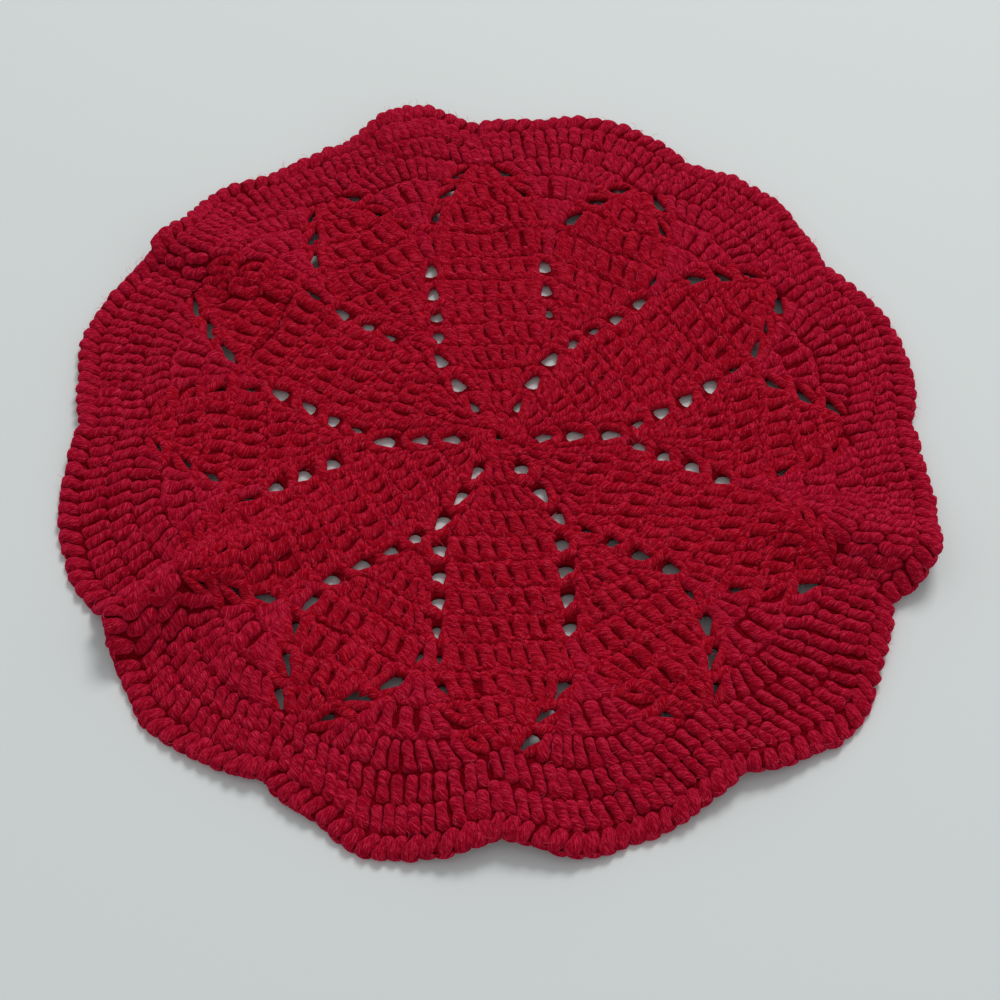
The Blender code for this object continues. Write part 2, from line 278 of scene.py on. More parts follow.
# How open each eyelet has been left, by rounds and by the side of its petal: o is open,
# s is a slit and x is drawn shut.  Petals in order, anticlockwise from the nearest, and
# the corners of the hexagon after them.
LeftOpen = namedtuple("LeftOpen", "clockwise anticlockwise")
LEFT_OPEN = (
    LeftOpen("ooosssxx", "ooooxooo"),
    LeftOpen("xxxs", "soos"),
    LeftOpen("soooxsxo", "ooooxxsx"),
    LeftOpen("xsxx", "xooo"),
    LeftOpen("sooososo", "osooxooo"),
    LeftOpen("sxso", "xooo"),
    LeftOpen("xsooxxso", "ooooxsoo"),
    LeftOpen("xxso", "xoos"),
    LeftOpen("xsoosxxx", "soooxooo"),
    LeftOpen("ssxx", "xoss"),
    LeftOpen("xooosxxx", "ooooxosx"),
    LeftOpen("osoo", "soos"),
)
CORNERS_LEFT_OPEN = ("ooo", "ooo", "soo", "soo", "ooo", "ooo")
OPENNESS = {"o": 0.8, "s": 0.4, "x": 0.0}

GROUND_WIDER = 1.4 * MM     # how far the ground stays behind the rim of an eyelet
GROUND_SHIFT = 0.9 * MM     # and how much further out its own opening lies
CENTRE_HOLE = 1.1 * MM
GROUND_EDGE_ROW = 14.8      # the ground ends under the edge round
GROUND_TOP = 2.3 * MM       # height of its upper side
GROUND_THICKNESS = 2.0 * MM
GROUND_CELL = 8.0 * MM      # it is cut into squares of this size, so that it can bend
CELLS_EACH_WAY = 20
CORNERS_A_PETAL = 14        # of the ground's outline
OFF_TABLE = 0.05 * MM       # nothing lies lower than this
# Painted shade: the ground's colours are darker than the yarn's, for the shade between the
# stitches; the tangle varies them.
GROUND_PAINTED_SHADES = ((0.35, (0.13, 0.0001, 0.003, 1.0)), (0.65, (0.31, 0.0006, 0.009, 1.0)))
TANGLE_SCALE = 1100.0       # per metre, so its tufts are about a millimetre wide
TANGLE_DEPTH = 0.8 * MM


def from_petal(petal_degrees, outwards, across):
    """Flat place of a point by its distance along and across a petal's middle line."""
    cos, sin = polar(petal_degrees, 1.0)
    return outwards * cos - across * sin, outwards * sin + across * cos


def eyelet_places():
    """Middle (x, y), direction in degrees, width and openness of every eyelet, laid evenly."""
    for petal, marks in zip(LARGE_PETALS, CORNERS_LEFT_OPEN):
        for row, mark in zip(CORNER_ROUNDS, marks):
            reach = ((row - 0.5) * ROW - CORNER_IN) / math.cos(math.radians(PETAL_STEP))
            corner = petal + PETAL_STEP
            yield (*polar(corner, reach), corner, CORNER_WIDTH, OPENNESS[mark])
    for petal, left_open in zip(PETALS, LEFT_OPEN):
        rows = (BESIDE_LARGE_PETALS if petal in LARGE_PETALS else ()) + BESIDE_EVERY_PETAL
        for side, marks in zip(SIDES, left_open):
            for row, mark in zip(rows, marks):
                outwards = (row.round - 0.5) * ROW + row.out * MM
                x, y = from_petal(petal, outwards, side * row.across * MM)
                yield x, y, petal - side * row.lean, row.width * MM, OPENNESS[mark]


def eyelet_outline(x, y, degrees, width, openness):
    """Corners of the opening that the ground has under an eyelet, laid evenly."""
    turned = np.arange(EYELET_CORNERS) * 2.0 * np.pi / EYELET_CORNERS
    wider = GROUND_WIDER * openness
    half_length = EYELET_LENGTH * mix(SHUT_LENGTH, 1.0, openness) / 2.0 + wider
    half_width = width * mix(SHUT_WIDTH, 1.0, openness) / 2.0 + wider
    outwards = half_length * np.cos(turned) + GROUND_SHIFT * openness
    across = half_width * np.sin(turned) * (1.0 - EYELET_TAPER * np.cos(turned))
    step_x, step_y = from_petal(degrees, outwards, across)
    return np.column_stack((x + step_x, y + step_y))


def finish_piece(name, mesh, material):
    """Put a finished mesh of the doily into the scene, on its only body."""
    data = bpy.data.meshes.new(name)
    mesh.to_mesh(data)
    mesh.free()
    data.materials.append(material)
    data.shade_smooth()
    piece = bpy.data.objects.new(name, data)
    bpy.context.scene.collection.objects.link(piece)
    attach(piece, "root")
    return piece


def make_ground():
    """Fill the outline round its holes, cut it into squares, lay it and thicken it."""
    mesh = bmesh.new()
    corner_count = PETAL_COUNT * CORNERS_A_PETAL
    angles = FIRST_SPOKE + np.arange(corner_count) * 360.0 / corner_count
    loops = [np.column_stack(polar(angles, round_radius(GROUND_EDGE_ROW, angles)))]
    loops += [np.column_stack(polar(angles[::CORNERS_A_PETAL], CENTRE_HOLE))]
    loops += [eyelet_outline(*place) for place in eyelet_places()]
    for loop in loops:
        corners = [mesh.verts.new((x, y, 0.0)) for x, y in loop]
        for step, corner in enumerate(corners):
            mesh.edges.new((corners[step - 1], corner))
    bmesh.ops.triangle_fill(mesh, use_beauty=True, edges=mesh.edges[:], normal=(0.0, 0.0, 1.0))
    for axis in ((1.0, 0.0, 0.0), (0.0, 1.0, 0.0)):
        for step in range(-CELLS_EACH_WAY, CELLS_EACH_WAY + 1):
            place = [coordinate * step * GROUND_CELL for coordinate in axis]
            parts = mesh.verts[:] + mesh.edges[:] + mesh.faces[:]
            bmesh.ops.bisect_plane(mesh, geom=parts, plane_co=place, plane_no=axis)
    flat = np.array([corner.co for corner in mesh.verts])
    for corner, there in zip(mesh.verts, laid(flat[:, 0], flat[:, 1], GROUND_TOP)):
        corner.co = there
    bmesh.ops.solidify(mesh, geom=mesh.faces[:], thickness=GROUND_THICKNESS)
    for corner in mesh.verts:
        corner.co.z = max(corner.co.z, OFF_TABLE)
    bmesh.ops.recalc_face_normals(mesh, faces=mesh.faces[:])
    return mesh


def set_up(material, node, **sockets):
    """Set a node's sockets, with _ for a space, or link them to what other nodes put out."""
    for name, value in sockets.items():
        socket = node.inputs[name.replace("_", " ")]
        if isinstance(value, bpy.types.NodeSocket):
            material.node_tree.links.new(value, socket)
        else:
            socket.default_value = value
    return node


def add_node(material, kind, **sockets):
    """A new node of a material, with its sockets set up."""
    return set_up(material, material.node_tree.nodes.new(kind), **sockets)


def ramp(material, shade, colours):
    """The colour that a ramp, given by places and colours, has at a shade."""
    node = add_node(material, "ShaderNodeValToRGB", Fac=shade)
    elements = node.color_ramp.elements
    for element, (place, colour) in zip(elements[:], (colours[0], colours[-1])):
        element.position = place
        element.color = colour
    for place, colour in colours[1:-1]:
        elements.new(place).color = colour
    return node.outputs["Color"]


def shade_painted_tangle():
    """The cotton of the ground: the same fibres without the twist of the yarn, in darker colours
    that are painted shade.
    """
    material = bpy.data.materials.new("ground_cotton_painted_shade")
    material.use_nodes = True
    place = add_node(material, "ShaderNodeTexCoord").outputs["Object"]
    tangle = add_node(
        material,
        "ShaderNodeTexNoise",
        Vector=place,
        Scale=TANGLE_SCALE,
        Detail=3.0,
        Distortion=1.5,
    ).outputs["Fac"]
    relief = add_node(material, "ShaderNodeBump", Distance=TANGLE_DEPTH, Height=tangle)
    set_up(
        material,
        material.node_tree.nodes["Principled BSDF"],
        Base_Color=ramp(material, tangle, GROUND_PAINTED_SHADES),
        Roughness=0.95,
        Specular_IOR_Level=0.03,
        Normal=relief.outputs["Normal"],
    )
    return material


ground = finish_piece("ground", make_ground(), shade_painted_tangle())
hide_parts("doily")


# ---------------------------------------------------------------------------
# The starting ring: twelve stitches worked into a small loop, their feet drawn
# together and their heads fanned out.  Like every stitch here each is a strand
# of soft twisted cotton, plump in front and tucked in at both ends.

# A strand's middle line and thickness: how far along its round (0 to 1), then the rest
# in millimetres.  Up is the height of the middle line over the underside.
Station = namedtuple("Station", "along across up width height")

# A stitch of a round: degrees of the line that it is measured from, millimetres from
# there to its foot and head, and how wide it is at both, as a share of the usual.
Stitch = namedtuple("Stitch", "row axis foot head foot_size head_size")

# A strand of yarn: sides round it, rings along it, its plies, and millimetres a turn.
Yarn = namedtuple("Yarn", "sides rings plies lead")

CENTRE_POST = (
    Station(0.15, -0.3, 1.2, 0.0, 0.0),
    Station(0.20, -0.3, 2.0, 2.0, 2.2),
    Station(0.34, -0.6, 2.6, 3.6, 3.9),
    Station(0.50, -0.4, 2.4, 3.8, 3.6),
    Station(0.68, 0.4, 2.5, 4.9, 4.1),
    Station(0.88, 0.7, 2.2, 5.4, 4.0),
    Station(0.99, 0.7, 1.5, 4.2, 2.4),
    Station(1.04, 0.7, 1.0, 0.0, 0.0),
)
POST_YARN = Yarn(12, 15, 9, 7.5)
PITCH = 5.3                 # millimetres between stitches across a petal
CLOSEST = 0.62              # the narrowest and widest that a stitch is made, as a
WIDEST = 1.2                # share of the usual, where they crowd or spread
WAVER = 0.16                # millimetres, how unevenly the stitches are drawn
LEAN_WAVER = 2.6 * WAVER    # how unevenly they lean
UP_WAVER = WAVER / 2.0      # how unevenly their middles stand up
ROW_WAVER = 0.025           # how unevenly they keep the round, as a share of it
FULLER = 0.07               # how much fuller one stitch is than another
LUMPY = 0.085               # how far the thickness changes along a stitch,
SLOW_LUMPS = 3.0            # in two waves of so many half turns
QUICK_LUMPS = 7.0
QUICK_SHARE = 0.7           # the quick one as a share of the slow one
STEEPEST = 0.6              # square of a side's rise past which it is widened no more
YARN_UNIT = 10.0 * MM       # length of yarn to one unit of its map
PLIES_APART = 10.0          # a strand's map moves by whole plies, so many to its phase
JOIN_WITHIN = 0.001 * MM

draw = np.random.default_rng(12)


def through(stations, count):
    """Smooth values at count places through the rows of a table of stations."""
    table = np.array(stations)
    before_first = 2.0 * table[:1] - table[1:2]
    after_last = 2.0 * table[-1:] - table[-2:-1]
    padded = np.vstack((before_first, table, after_last))
    place = np.linspace(0.0, len(table) - 1.0, count)
    index = np.minimum(place.astype(int), len(table) - 2)
    share = (place - index)[:, None]
    before, start, end, after = (padded[index + step] for step in range(4))
    bend = 2.0 * before - 5.0 * start + 4.0 * end - after
    turn = 3.0 * start - before - 3.0 * end + after
    return 0.5 * (2.0 * start + (end - before) * share + bend * share**2 + turn * share**3)


def facing(flat_x, flat_y):
    """The direction in which the laid fabric faces at each place."""
    here = laid(flat_x, flat_y, 0.0)
    along_x = laid(flat_x + MM, flat_y, 0.0) - here
    along_y = laid(flat_x, flat_y + MM, 0.0) - here
    out = np.cross(along_x, along_y)
    return out / np.linalg.norm(out, axis=-1, keepdims=True)


def by_hand(amount, count):
    """A small difference for each of count strands, most of them within this amount."""
    return draw.normal(0.0, amount, (count, 1))


def strand_lines(stations, stitches, rings):
    """Middle lines, facings, widths and heights of one strand for each of the stitches."""
    along, across, up, width, height = through(stations, rings).T
    within = np.clip(along, 0.0, 1.0)
    row, axis, foot, head, foot_size, head_size = (
        np.array(values)[:, None] for values in zip(*stitches)
    )
    count = len(stitches)
    size = mix(foot_size, head_size, within)
    shift = by_hand(WAVER, count)
    shift = shift + np.sin(np.pi * along) * by_hand(WAVER, count)
    shift = shift + (along - 0.5) * by_hand(LEAN_WAVER, count)
    raised = by_hand(UP_WAVER, count) * np.sin(np.pi * within)
    fuller = 1.0 + by_hand(FULLER, count)
    rows = row - 1.0 + along + by_hand(ROW_WAVER, count)
    beside = (mix(foot, head, within) + across * size + shift) * MM
    degrees = axis + np.degrees(np.arctan2(beside, round_radius(rows, axis)))
    flat_x, flat_y = polar(degrees, round_radius(rows, degrees))
    lines = laid(flat_x, flat_y, (up + raised) * MM)
    slow, quick = draw.uniform(0.0, 2.0 * np.pi, (2, count, 1))
    waves = np.sin(SLOW_LUMPS * np.pi * along + slow)
    waves = waves + QUICK_SHARE * np.sin(QUICK_LUMPS * np.pi * along + quick)
    lumps = 1.0 + LUMPY * waves
    widths = np.maximum(width, 0.0) * size * fuller * lumps * MM
    heights = np.maximum(height, 0.0) * fuller * lumps * MM
    return lines, facing(flat_x, flat_y), widths, heights


def add_strands(mesh, stations, stitches, yarn):
    """A strand of twisted yarn for each of the stitches."""
    roll_strands(mesh, *strand_lines(stations, stitches, yarn.rings), yarn)


def roll_strands(mesh, lines, facings, widths, heights, yarn):
    """Roll a narrow grid round each middle line into a strand of twisted yarn."""
    count = len(lines)
    strip = bmesh.new()
    bmesh.ops.create_grid(strip, x_segments=yarn.sides, y_segments=yarn.rings - 1, size=1.0)
    side_of = np.array([round((c.co.x + 1.0) / 2.0 * yarn.sides) for c in strip.verts])
    ring_of = np.array([round((c.co.y + 1.0) / 2.0 * (yarn.rings - 1)) for c in strip.verts])
    data = bpy.data.meshes.new("strip")
    strip.to_mesh(data)
    strip.free()
    source = bpy.data.objects.new("strip", data)
    bpy.context.scene.collection.objects.link(source)
    copies = source.modifiers.new("copies", "ARRAY")
    copies.use_relative_offset = False
    copies.count = count
    evaluated = source.evaluated_get(bpy.context.evaluated_depsgraph_get())
    strips = bpy.data.meshes.new_from_object(evaluated)
    bpy.data.objects.remove(source)

    tangent = np.gradient(lines, axis=1)
    tangent /= np.linalg.norm(tangent, axis=2, keepdims=True)
    side = np.cross(facings, tangent)
    side /= np.linalg.norm(side, axis=2, keepdims=True)
    top = np.cross(tangent, side)
    side /= np.sqrt(1.0 - np.minimum(side[..., 2:] ** 2, STEEPEST))  # wider where it is steep
    steps = np.linalg.norm(np.diff(lines, axis=1), axis=2)
    length = np.concatenate((np.zeros((count, 1)), np.cumsum(steps, axis=1)), axis=1)
    turned = 2.0 * np.pi * side_of / yarn.sides - np.pi / 2.0
    twist = 2.0 * np.pi * length[:, ring_of] / (yarn.lead * MM)
    phase = draw.uniform(0.0, 2.0 * np.pi, (count, 1))
    wide = (widths[:, ring_of] / 2.0 * np.cos(turned))[..., None]
    high = (heights[:, ring_of] / 2.0 * np.sin(turned))[..., None]
    place = lines[:, ring_of] + side[:, ring_of] * wide + top[:, ring_of] * high
    place[..., 2] = np.maximum(place[..., 2], OFF_TABLE)
    strips.vertices.foreach_set("co", place.ravel())

    corner = np.zeros(len(strips.loops), dtype=np.int32)
    strips.loops.foreach_get("vertex_index", corner)
    plies_round = (turned + twist) / (2.0 * np.pi) * yarn.plies + np.floor(phase * PLIES_APART)
    down_yarn = length[:, ring_of] / YARN_UNIT + phase
    flat = np.stack((plies_round, down_yarn), axis=-1).reshape(-1, 2)[corner]
    layer = strips.uv_layers.new(name="yarn")
    layer.uv.foreach_set("vector", flat.astype(np.float32).ravel())
    mesh.from_mesh(strips)
    bpy.data.meshes.remove(strips)
    bpy.data.meshes.remove(data)


def close_strands(mesh):
    """Join the seam along each strand, and close its two ends."""
    bmesh.ops.remove_doubles(mesh, verts=mesh.verts[:], dist=JOIN_WITHIN)
    bmesh.ops.recalc_face_normals(mesh, faces=mesh.faces[:])


def spacing(places):
    """How widely stitches are spaced, as a share of the usual distance between them."""
    if len(places) == 1:
        return [1.0]
    return np.clip(np.abs(np.gradient(places)) / PITCH, CLOSEST, WIDEST)


def spread(row, axis, feet, heads):
    """A group of stitches of one round beside an axis, by their feet and heads."""
    group = zip(feet, heads, spacing(feet), spacing(heads))
    return [Stitch(row, axis, *stitch) for stitch in group]


# The cotton of the yarn, in the units of its map: x counts plies and y YARN_UNITs.
FIBRE_SCALE = (1.7, 5.0, 1.0)
FLECK_SCALE = (1.8, 13.0, 1.0)
PATCH_SCALE = 380.0         # per metre, for patches of shade about 2.6 mm wide
PLY_WANDER = 2.2            # how far the plies wander with the patches
PLY_STRAYS = 0.6            # and with the single fibres
RUNS_DOWN_YARN = 5.0        # short runs of fuzz to each YARN_UNIT
PLY_RIDGE = 0.36            # how much its round top counts beside the gaps of its runs
# Ridges and streaks also set the colour: painted shade in the grooves between the plies, painted
# highlight on their tops.
RIDGE_PART = 0.5            # what ridges, streaks, patches and runs add to the
STREAK_PART = 0.9           # shade, of which the first two are relief too
PATCH_PART = 0.3
RUN_PART = 0.16
SHADE_RANGE = (0.31, 0.82)  # sums that show as the deepest and the palest shade
LIGHT_AT = 0.62             # where the light red lies between them
# The flecks are painted highlights on loose fibre ends.
FLECK_RANGE = (0.58, 0.74)  # where fibre ends begin to be pale, and are palest
FLECK_STRENGTH = 0.55
FLECK_HIGHLIGHT_PINK = (0.86, 0.08, 0.16, 1.0)
SHEEN_TINT = (1.0, 0.03, 0.13, 1.0)
RELIEF_DEPTH = 0.42 * MM


def twisted_cotton(name, groove_shade, light, crest_highlight, sheen):
    """Matte twisted cotton: plies, fine fibres, painted shade and highlight on the plies, and
    small changes of shade.
    """
    material = bpy.data.materials.new(name)
    material.use_nodes = True

    def node(kind, **sockets):
        """A new node of this cotton."""
        return add_node(material, kind, **sockets)

    def worked_out(operation, first, second=None):
        """The outcome of one sum on what other nodes put out, or on plain numbers."""
        step = node("ShaderNodeMath")
        step.operation = operation
        for socket, value in zip(step.inputs, (first, second)):
            if isinstance(value, float):
                socket.default_value = value
            elif value is not None:
                material.node_tree.links.new(value, socket)
        return step.outputs["Value"]

    yarn_map = node("ShaderNodeUVMap")
    yarn_map.uv_map = "yarn"
    along_yarn = yarn_map.outputs["UV"]
    stretched = node("ShaderNodeMapping", Vector=along_yarn, Scale=FIBRE_SCALE).outputs["Vector"]
    fibres = node("ShaderNodeTexNoise", Vector=stretched, Scale=1.0, Detail=4.0, Roughness=0.7)
    place = node("ShaderNodeTexCoord").outputs["Object"]
    patches = node("ShaderNodeTexNoise", Vector=place, Scale=PATCH_SCALE, Detail=3.0)

    # The plies stand up as rounded, uneven ridges, broken into short runs by their fuzz.
    parts = node("ShaderNodeSeparateXYZ", Vector=along_yarn)
    waver = worked_out("MULTIPLY", patches.outputs["Fac"], PLY_WANDER)
    strays = worked_out("MULTIPLY", fibres.outputs["Fac"], PLY_STRAYS)
    uneven = worked_out("ADD", parts.outputs["X"], worked_out("ADD", waver, strays))
    plies = worked_out("ABSOLUTE", worked_out("SINE", worked_out("MULTIPLY", uneven, math.pi)))
    run_places = worked_out("MULTIPLY", parts.outputs["Y"], RUNS_DOWN_YARN)
    along_runs = node("ShaderNodeCombineXYZ", X=uneven, Y=run_places).outputs["Vector"]
    runs = node("ShaderNodeTexVoronoi")
    runs.voronoi_dimensions = "2D"
    set_up(material, runs, Vector=along_runs, Scale=1.0)
    run_parts = node("ShaderNodeSeparateXYZ", Vector=runs.outputs["Color"])
    raised = worked_out("MULTIPLY", plies, PLY_RIDGE)
    ridges = worked_out("SUBTRACT", raised, runs.outputs["Distance"])
    streaks = worked_out("MULTIPLY", fibres.outputs["Fac"], STREAK_PART)
    height = worked_out("ADD", worked_out("MULTIPLY", ridges, RIDGE_PART), streaks)
    relief = node("ShaderNodeBump", Strength=0.8, Distance=RELIEF_DEPTH, Height=height)

    # The relief is painted into the colour, as painted shade in the grooves and
    # painted highlight on the ply tops, and each run and patch has a shade of its own,
    # from groove shade to crest highlight.
    patchy = worked_out("MULTIPLY", patches.outputs["Fac"], PATCH_PART)
    by_run = worked_out("MULTIPLY", run_parts.outputs["X"], RUN_PART)
    shade = worked_out("ADD", height, worked_out("ADD", patchy, by_run))
    darkest, palest = SHADE_RANGE
    ranged = node("ShaderNodeMapRange", Value=shade, From_Min=darkest, From_Max=palest)
    colours = ((0.0, (*groove_shade, 1.0)), (LIGHT_AT, (*light, 1.0)), (1.0, (*crest_highlight, 1.0)))
    shades = ramp(material, ranged.outputs["Result"], colours)

    # Painted highlights: pale pink flecks along the plies, where loose fibre ends would catch the
    # light.
    along_plies = node("ShaderNodeMapping", Vector=along_yarn, Scale=FLECK_SCALE).outputs["Vector"]
    ends = node("ShaderNodeTexNoise", Vector=along_plies, Scale=1.0, Detail=1.0, Distortion=1.6)
    begins, fullest = FLECK_RANGE
    few = node(
        "ShaderNodeMapRange",
        Value=ends.outputs["Fac"],
        From_Min=begins,
        From_Max=fullest,
        To_Max=FLECK_STRENGTH,
    )
    highlighted = node("ShaderNodeMix")
    highlighted.data_type = "RGBA"
    set_up(material, highlighted, Factor=few.outputs["Result"], A=shades, B=FLECK_HIGHLIGHT_PINK)

    set_up(
        material,
        material.node_tree.nodes["Principled BSDF"],
        Base_Color=highlighted.outputs["Result"],
        Roughness=0.95,
        Specular_IOR_Level=0.01,
        Sheen_Weight=sheen,
        Sheen_Roughness=0.7,
        Sheen_Tint=SHEEN_TINT,
        Normal=relief.outputs["Normal"],
    )
    return material


# Crimson, with painted shade deep between the plies and a paler painted highlight
# where their fibres stand up.
yarn_cotton = twisted_cotton(
    "yarn_cotton",
    groove_shade=(0.22, 0.0001, 0.002),
    light=(0.38, 0.0004, 0.005),
    crest_highlight=(0.64, 0.014, 0.038),
    sheen=0.38,
)

# No two of the twelve are alike: degrees off their even places, and sizes of their feet.
RING_TURNS = (4.0, -5.0, 6.0, 0.0, -7.0, 3.0, 5.0, -6.0, 2.0, -3.0, 6.0, -4.0)
RING_SIZES = (1.1, 0.8, 1.2, 0.9, 1.1, 0.8, 0.9, 1.2, 0.8, 1.1, 1.0, 0.9)

ring_stitches = [
    Stitch(1, petal + HALF_STEP + turn, 0.0, 0.0, size, 1.0)
    for petal, turn, size in zip(PETALS, RING_TURNS, RING_SIZES)
]
mesh = bmesh.new()
add_strands(mesh, CENTRE_POST, ring_stitches, POST_YARN)
close_strands(mesh)
starting_ring = finish_piece("starting_ring", mesh, yarn_cotton)


# ---------------------------------------------------------------------------
# The petals: rounds of tall stitches in thick crimson cotton, each worked into
# the head of one below, leaning a little anticlockwise.  They widen to seven
# stitches and close again to one, two legs sharing a head at either side.

PETAL_POST = (
    Station(0.02, -1.1, 0.9, 0.0, 0.0),
    Station(0.035, -1.1, 1.6, 3.8, 2.8),
    Station(0.13, -0.95, 2.3, 4.7, 3.7),
    Station(0.30, -0.6, 2.4, 4.8, 3.8),
    Station(0.46, -0.2, 2.1, 4.4, 3.5),
    Station(0.62, 0.2, 2.3, 5.0, 3.8),
    Station(0.80, 0.4, 2.3, 5.4, 4.0),
    Station(0.88, 0.5, 1.9, 5.2, 3.3),
    Station(0.92, 0.5, 1.3, 4.4, 2.3),
    Station(0.93, 0.5, 0.8, 0.0, 0.0),
)
HEAD_LOOP = (
    Station(0.82, 0.2, 1.4, 0.0, 0.0),
    Station(0.83, 0.7, 1.9, 1.8, 1.7),
    Station(0.85, 2.3, 2.4, 2.7, 2.4),
    Station(0.88, 3.9, 2.1, 2.2, 2.1),
    Station(0.90, 4.6, 1.3, 0.0, 0.0),
)
FOOT_BIT = (
    Station(0.02, 0.6, 1.2, 0.0, 0.0),
    Station(0.04, 1.0, 1.9, 2.4, 2.3),
    Station(0.11, 1.9, 2.6, 3.2, 3.1),
    Station(0.21, 2.7, 2.4, 3.0, 2.7),
    Station(0.30, 3.1, 1.2, 0.0, 0.0),
)
LOOP_YARN = Yarn(8, 8, 6, 8.0)


def both_sides(*places):
    """The middle place with these on either side of it, in order."""
    return (*(-place for place in reversed(places)), 0.0, *places)


# The stitches of each round, by millimetres across the petal to their feet and heads.
PetalRound = namedtuple("PetalRound", "row feet heads")
SEVEN = both_sides(5.3, 10.6, 15.9)
LARGE_ROUNDS = (
    PetalRound(2, (-2.9, 0.4, 2.9), both_sides(4.2)),
    PetalRound(3, both_sides(3.6, 4.8), both_sides(4.7, 9.4)),
    PetalRound(4, both_sides(4.7, 8.8, 10.0), both_sides(5.1, 10.1, 15.2)),
    PetalRound(5, both_sides(5.1, 10.1, 15.2), SEVEN),
    PetalRound(6, SEVEN, SEVEN),
    PetalRound(7, SEVEN, SEVEN),
    PetalRound(8, SEVEN, SEVEN),
)
INNER_COUNT = 5             # rounds of the large petals in the inner piece
SMALL_ROUNDS = (
    PetalRound(5, (0.0,), (0.0,)),
    PetalRound(6, both_sides(0.8), both_sides(5.1)),
    PetalRound(7, both_sides(4.5, 5.7), both_sides(5.1, 10.1)),
    PetalRound(8, both_sides(5.1, 9.5, 10.7), both_sides(5.2, 10.4, 15.6)),
)
TIP_ROUNDS = (
    PetalRound(9, SEVEN, SEVEN),
    PetalRound(10, SEVEN, both_sides(5.4, 11.0, 12.6)),
    PetalRound(11, both_sides(5.4, 10.9), both_sides(5.0, 6.2)),
    PetalRound(TIP_ROUND, both_sides(5.6), both_sides(1.3)),
)


def petal_stitches(petals, rounds):
    """The stitches of these rounds, in each of the petals or fans."""
    return [
        stitch
        for petal in petals
        for petal_round in rounds
        for stitch in spread(petal_round.row, petal, petal_round.feet, petal_round.heads)
    ]


def petal_piece(name, stitches):
    """Posts side by side, each with a loop at its head and a bit of yarn at its foot."""
    mesh = bmesh.new()
    add_strands(mesh, PETAL_POST, stitches, POST_YARN)
    add_strands(mesh, HEAD_LOOP, stitches, LOOP_YARN)
    add_strands(mesh, FOOT_BIT, stitches, LOOP_YARN)
    close_strands(mesh)
    return finish_piece(name, mesh, yarn_cotton)


inner_stitches = petal_stitches(LARGE_PETALS, LARGE_ROUNDS[:INNER_COUNT])
middle_stitches = petal_stitches(LARGE_PETALS, LARGE_ROUNDS[INNER_COUNT:])
middle_stitches += petal_stitches(SMALL_PETALS, SMALL_ROUNDS)
petals_inner = petal_piece("petals_inner", inner_stitches)
petals_middle = petal_piece("petals_middle", middle_stitches)
petals_tip = petal_piece("petals_tip", petal_stitches(PETALS, TIP_ROUNDS))


# ---------------------------------------------------------------------------
# The fans: stitches of the same yarn that fill the gaps between the petal tips, one
# in the ninth round, then three, five and eleven, until they stand out as scallops.
# The last eleven are slimmer than those of the petals, and slimmest at their feet.

FIRST_FAN_ROUND = 9
FIRST_FAN_SIZES = (0.9, 1.0)
FAN_ROUNDS = (
    PetalRound(10, both_sides(1.4), both_sides(6.2)),
    PetalRound(11, both_sides(5.2, 7.2), both_sides(6.6, 13.2)),
)
LAST_FAN_FEET = both_sides(3.2, 6.4, 9.6, 12.8, 16.0)
LAST_FAN_HEADS = both_sides(4.8, 9.6, 14.4, 19.2, 24.0)
LAST_FAN_SIZES = (0.82, 1.12)
PLAIN_POST = (
    Station(0.055, -0.9, 0.6, 0.0, 0.0),
    Station(0.06, -0.9, 1.2, 3.3, 2.0),
    Station(0.11, -0.8, 2.2, 4.0, 3.5),
    Station(0.30, -0.5, 2.7, 3.9, 3.6),
    Station(0.48, -0.1, 2.4, 3.6, 3.3),
    Station(0.66, 0.3, 2.7, 4.0, 3.6),
    Station(0.83, 0.6, 2.4, 4.4, 3.5),
    Station(0.88, 0.7, 1.3, 3.9, 2.2),
    Station(0.885, 0.7, 0.6, 0.0, 0.0),
)
PLAIN_YARN = Yarn(12, 14, 9, 7.0)

# Out here the same yarn looks a little paler and pinker than in the petals, with more sheen:
# painted highlight for the light that the outer rounds catch.
pink_highlight_cotton = twisted_cotton(
    "pink_highlight_cotton",
    groove_shade=(0.20, 0.0001, 0.004),
    light=(0.38, 0.0004, 0.010),
    crest_highlight=(0.66, 0.019, 0.053),
    sheen=0.56,
)

fans = [petal + HALF_STEP for petal in PETALS]
first_fan_stitches = [Stitch(FIRST_FAN_ROUND, fan, 0.0, 0.0, *FIRST_FAN_SIZES) for fan in fans]
fan_stitches = petal_stitches(fans, FAN_ROUNDS)
last_fan_stitches = [
    Stitch(TIP_ROUND, fan, foot, head, *LAST_FAN_SIZES)
    for fan in fans
    for foot, head in zip(LAST_FAN_FEET, LAST_FAN_HEADS)
]
mesh = bmesh.new()
add_strands(mesh, PETAL_POST, first_fan_stitches + fan_stitches, POST_YARN)
add_strands(mesh, PLAIN_POST, last_fan_stitches, PLAIN_YARN)
add_strands(mesh, HEAD_LOOP, fan_stitches, LOOP_YARN)
close_strands(mesh)
fan_piece = finish_piece("fans", mesh, pink_highlight_cotton)


# ---------------------------------------------------------------------------
# The border: two plain rounds of tall stitches that go right round and bring the
# fans and the petal tips together, each stitch a plump bundle close to the next.

BorderRound = namedtuple("BorderRound", "row stitches")
BORDER_ROUNDS = (BorderRound(13, 198), BorderRound(14, 222))


def all_round(row, count):
    """So many even stitches, all the way round."""
    return [
        Stitch(row, FIRST_SPOKE + 360.0 * (step + 0.5) / count, 0.0, 0.0, 1.0, 1.0)
        for step in range(count)
    ]


mesh = bmesh.new()
for border in BORDER_ROUNDS:
    add_strands(mesh, PLAIN_POST, all_round(border.row, border.stitches), PLAIN_YARN)
close_strands(mesh)
border_piece = finish_piece("border_rounds", mesh, pink_highlight_cotton)


# ---------------------------------------------------------------------------
# The edge round: short, tight stitches that bind the scallops like a rope.  They
# lean clockwise and curl over the rim, where a last chain runs round underneath.

